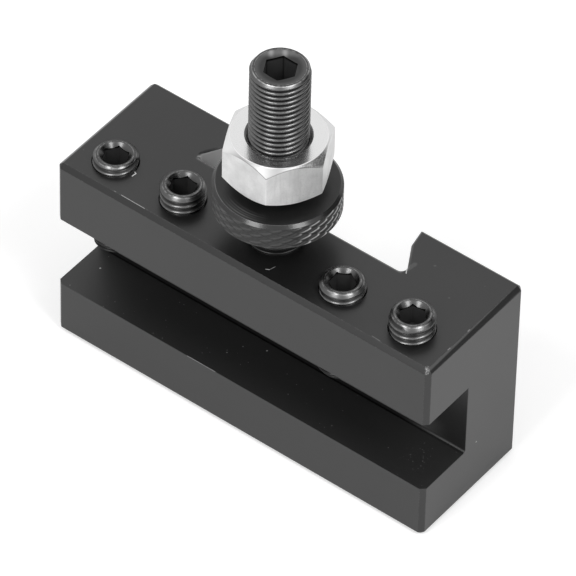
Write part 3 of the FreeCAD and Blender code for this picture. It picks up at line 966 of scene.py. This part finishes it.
def plated_side(steel, x, y):
    """Streaks on the right sides of the plated nut, painted darker towards its corner: a painted shade.
    """
    right = ramp(x, 2.0, 6.5) * (1 - ramp(y, -3.5, 1.5))
    stretched = add(steel.tree, "ShaderNodeMapping", {
        "Vector": steel.place, "Scale": (1.0, 1.0, 0.12),
    })
    noise = add(steel.tree, "ShaderNodeTexNoise", {
        "Vector": stretched.outputs[0], "Scale": 1.6, "Detail": 4.0,
    })
    streaks = ramp(Field(steel.tree, noise.outputs["Fac"]), 0.42, 0.66)
    steel.layer(streaks * right * 0.22, 0.4, 1.0, 0.45)
    steel.layer(ramp(x, 6.2, 7.2) * right * (0.12 + steel.fine * 0.25), 0.4, 1.0, 0.45)


def plated_finish(groups):
    """The bright plated nut: satin, lightly rubbed, with painted shade on its chamfer and right sides,
    and a painted dark patch on one side.
    """
    steel = Finish(
        "bright_plating", groups, metallic=1.0, roughness=0.42, ior=1.5, grey=0.72, fine=4.0, broad=0.35,
    )
    x, y, height, radius = steel.own_place()
    toward_front = x * 0.6 - y * 0.8
    steel.layer(ramp(steel.fine, 0.52, 0.7) * 0.2, 0.5, 1.0, 0.45)
    plated_side(steel, x, y)
    ring = (LOCK_FLATS / 2 - LOCK_RIM) / MM
    top_face = (1 - ramp(radius, ring - 0.1, ring)) * ramp(height, -0.06, -0.03)
    steel.layer(top_face, 0.76, 1.0, 0.2)
    # the chamfer is painted darker in front, with a painted dark patch at the right corner: painted
    # shade
    rise = (radius - ring) * math.tan(math.radians(LOCK_SLOPE))
    chamfer = ramp(radius, ring, ring + 0.15) * ramp(height + rise, -0.16, -0.08)
    steel.layer(chamfer, 0.36 + (1 - ramp(toward_front, 3.0, 6.0)) * 0.42, 1.0, 0.42)
    painted_dark_patch = ramp(x, 6.4, 7.4) * (1 - ramp(y, 0.5, 3.0)) * (1 - ramp(radius, 9.0, 9.2))
    steel.layer(chamfer * painted_dark_patch * (0.5 + ramp(steel.fine, 0.42, 0.56) * 0.45), 0.14, 1.0, 0.45)
    # grime and a painted reflection of the stud lie in front of the bore
    grime_and_reflection = ramp(toward_front, 4.2, 5.6) * (1 - ramp(radius, 6.2, 7.4)) * ramp(height, -0.3, -0.1)
    steel.layer(grime_and_reflection * (0.06 + ramp(steel.fine, 0.4, 0.6) * 0.24), 0.2, 1.0, 0.3)
    # the upper chamfer's inner rim and the lower chamfer's outer rim catch the light
    low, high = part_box("lock_nut")
    above_foot = height + (high.z - low.z) / MM
    steel.layer(near(radius, ring, 0.1) * 0.5, 0.95, 1.0, 0.3)
    steel.layer(near(above_foot - rise, 0.1, 0.14) * 0.5, 0.9, 0.3, 0.4)
    specks = steel.dust(2.0, 0.07, 0.12) * (1 - ramp(height, -1.0, -0.5))
    steel.layer(specks * 0.5, 0.25, 1.0, 0.5)
    return steel.close(0.12, 0.03 * MM)


def camera():
    """The camera, where the photograph was taken from."""
    data = bpy.data.cameras.new("camera")
    data.lens = CAMERA_LENS
    data.sensor_width = 36.0
    data.clip_start = 0.05
    data.clip_end = 20.0
    view = bpy.data.objects.new("camera", data)
    view.location = Vector(CAMERA_PLACE) * MM
    view.rotation_euler = Euler([math.radians(turn) for turn in CAMERA_TURN])
    bpy.context.scene.collection.objects.link(view)
    bpy.context.scene.camera = view


def from_angles(azimuth, elevation):
    """The direction towards an azimuth, from the front round to the right, and an elevation."""
    turn, rise = math.radians(azimuth), math.radians(elevation)
    return Vector((math.sin(turn) * math.cos(rise), -math.cos(turn) * math.cos(rise), math.sin(rise)))


def facing_middle(piece, azimuth, elevation, distance):
    """Stands a lamp or a card off the holder's middle and turns it to face there."""
    back = from_angles(azimuth, elevation)
    piece.location = Vector(MIDDLE) + back * distance
    piece.rotation_euler = back.to_track_quat("Z", "Y").to_euler()


def softbox(name, azimuth):
    """A tall lamp that looks at the holder from an azimuth."""
    data = bpy.data.lights.new(name, "AREA")
    data.shape = "RECTANGLE"
    data.size, data.size_y = LAMP_SIZE
    data.energy = LAMP_WATTS
    lamp = bpy.data.objects.new(name, data)
    facing_middle(lamp, azimuth, LAMP_RISE, LAMP_DISTANCE)
    bpy.context.scene.collection.objects.link(lamp)


def surroundings():
    """White surroundings, two softboxes, the pale floor and two dark cards."""
    world = bpy.data.worlds.new("studio")
    bpy.context.scene.world = world
    world.use_nodes = True
    tree = world.node_tree
    path = tree.nodes.new("ShaderNodeLightPath")
    seen = Field(tree, path.outputs["Is Camera Ray"]) + path.outputs["Is Glossy Ray"]
    seen = (seen + path.outputs["Is Transmission Ray"]).math("MINIMUM", 1.0)
    background = tree.nodes["Background"]
    background.inputs["Color"].default_value = (1, 1, 1, 1)
    feed(tree, seen * (1 - AMBIENT) + AMBIENT, background.inputs["Strength"])

    softbox("left_softbox", -4)
    softbox("right_softbox", 77)
    side_card = dark_card("side_card", 137, 27, 0.2)
    back_card = dark_card("back_card", 212, 16, 0.1)
    pale_floor()


def square(name, half, material):
    """A flat square of a material, level and centred."""
    mesh = bpy.data.meshes.new(name)
    corners = [(-half, -half, 0), (half, -half, 0), (half, half, 0), (-half, half, 0)]
    mesh.from_pydata(corners, [], [(0, 1, 2, 3)])
    mesh.materials.append(material)
    piece = bpy.data.objects.new(name, mesh)
    bpy.context.scene.collection.objects.link(piece)
    return piece


def pale_floor():
    """The floor: pale, and white to the camera apart from the shadow."""
    material, tree, shader = surface("pale_floor", Roughness=0.9)
    shader.inputs["Base Color"].default_value = (0.82, 0.82, 0.82, 1)
    shader.inputs["Emission Color"].default_value = (1, 1, 1, 1)
    path = tree.nodes.new("ShaderNodeLightPath")
    mirrored = Field(tree, path.outputs["Is Glossy Ray"]) + path.outputs["Is Transmission Ray"]
    mirrored = mirrored.math("MINIMUM", 1.0)
    glow = Field(tree, path.outputs["Is Camera Ray"]) * FLOOR_GLOW + mirrored * FLOOR_MIRRORED
    feed(tree, glow, shader.inputs["Emission Strength"])
    return square("floor", FLOOR_HALF, material)


def dark_card(name, azimuth, elevation, half):
    """A low dark card behind the holder, which shades the slopes that face it."""
    material, _, shader = surface(name, Roughness=1.0)
    shader.inputs["Base Color"].default_value = (0.02, 0.02, 0.02, 1)
    card = square(name, half, material)
    facing_middle(card, azimuth, elevation, CARD_DISTANCE)
    card.visible_camera = False
    card.visible_diffuse = False
    card.visible_shadow = False
    return card


def main():
    """Builds the scene."""
    groups = {
        "grain": grain_group(), "stroke": stroke_group(),
        "dust": dust_group(), "edge_wear_and_shade": edge_group(),
    }
    oxide = oxide_finish(groups)
    stud_black = stud_finish(groups)
    screw_black = screw_finish(groups)
    knurled = knurl_finish(groups)
    bright = plated_finish(groups)
    thread = thread_tree()
    knurl = knurl_tree()
    block(oxide)
    stud(thread, stud_black)
    knurled_nut(knurl, knurled)
    lock_nut(bright)
    for number in range(1, 5):
        clamp_screw(number, thread, screw_black)
    camera()
    surroundings()
    bpy.context.scene.view_settings.view_transform = "Standard"


main()
